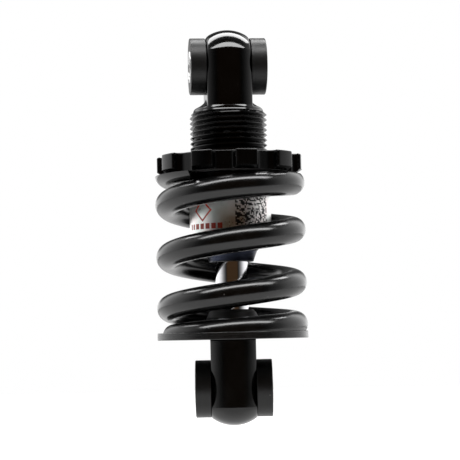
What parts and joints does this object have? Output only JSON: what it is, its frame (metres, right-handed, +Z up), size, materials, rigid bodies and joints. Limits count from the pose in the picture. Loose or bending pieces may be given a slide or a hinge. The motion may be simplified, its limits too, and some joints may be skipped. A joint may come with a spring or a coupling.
{
  "type": "rear shock",
  "caption": "Small coil-over rear shock: eyes with bushes at both ends, threaded preload collar, coil spring around a damper tube and piston rod, and a lower spring plate.",
  "frame": {"origin": "centre of the upper bolt hole", "axes": "+X along the upper bolt hole, +Z up along the piston rod, away from the lower eye"},
  "size_m": [0.0466, 0.0466, 0.1226],
  "materials": {
    "black_paint": "gloss",
    "black_anodise": "gloss",
    "spring_paint": "semi-gloss",
    "satin_black": "satin",
    "bush_plastic": "satin",
    "sleeve_steel": "turned",
    "washer_plastic": "matt",
    "tube_metal": "satin",
    "label_film": "silver film",
    "gland_metal": "turned",
    "guide_bronze": "sintered",
    "seal_rubber": "matt",
    "bumper_rubber": "matt",
    "bump_foam": "matt",
    "rod_chrome": "polished",
    "piston_brass": "machined",
    "ring_ptfe": "matt",
    "shim_steel": "rolled"
  },
  "bodies": {
    "housing": {"upper_housing": "black_paint", "upper_bush_left": "bush_plastic", "upper_bush_right": "bush_plastic", "damper_tube": "tube_metal", "tube_label": "label_film", "gland_nut": "gland_metal", "gland_o_ring": "seal_rubber", "rod_guide": "guide_bronze", "rod_seal": "seal_rubber", "wiper_seal": "seal_rubber", "top_out_bumper": "bumper_rubber", "coil_spring": "spring_paint"},
    "upper_sleeve": {"upper_sleeve": "sleeve_steel"},
    "spring_seat": {"seat_washer": "washer_plastic"},
    "collar": {"preload_collar": "black_anodise"},
    "floating_piston": {"floating_piston": "piston_brass", "floating_piston_ring": "seal_rubber"},
    "lower_seat": {"lower_seat_plate": "satin_black", "bump_stop": "bump_foam"},
    "rod": {"piston_rod": "rod_chrome", "rebound_shims": "shim_steel", "piston": "piston_brass", "piston_ring": "ring_ptfe", "compression_shims": "shim_steel", "piston_nut": "shim_steel", "lower_eye": "satin_black", "lower_bush_left": "bush_plastic", "lower_bush_right": "bush_plastic"},
    "lower_sleeve": {"lower_sleeve": "sleeve_steel"}
  },
  "joints": [
    {"name": "upper_sleeve_turn", "type": "hinge", "parent": "housing", "child": "upper_sleeve", "pos_m": [0, 0, 0], "axis": [1, 0, 0], "continuous": true},
    {"name": "seat_slide", "type": "slide", "parent": "housing", "child": "spring_seat", "axis": [0, 0, 1], "range_m": [-0.0016, 0.0016]},
    {"name": "collar_turn", "type": "hinge", "parent": "spring_seat", "child": "collar", "pos_m": [0, 0, -0.031], "axis": [0, 0, 1], "range_deg": [-360, 360]},
    {"name": "stroke", "type": "slide", "parent": "housing", "child": "lower_seat", "axis": [0, 0, 1], "range_m": [0, 0.014], "stiffness_N_per_m": 245000, "deforming": ["coil_spring"]},
    {"name": "floating_piston_slide", "type": "slide", "parent": "housing", "child": "floating_piston", "axis": [0, 0, 1], "range_m": [0, 0.004]},
    {"name": "rod_swivel", "type": "hinge", "parent": "lower_seat", "child": "rod", "pos_m": [0, 0, -0.085], "axis": [0, 0, 1], "continuous": true},
    {"name": "lower_sleeve_turn", "type": "hinge", "parent": "rod", "child": "lower_sleeve", "pos_m": [0, 0, -0.1], "axis": [0.9962, -0.0872, 0], "continuous": true}
  ],
  "couplings": [
    {"joint": "seat_slide", "follows": "collar_turn", "m_per_rad": 0.00025266},
    {"joint": "floating_piston_slide", "follows": "stroke", "ratio": 0.27701}
  ]
}
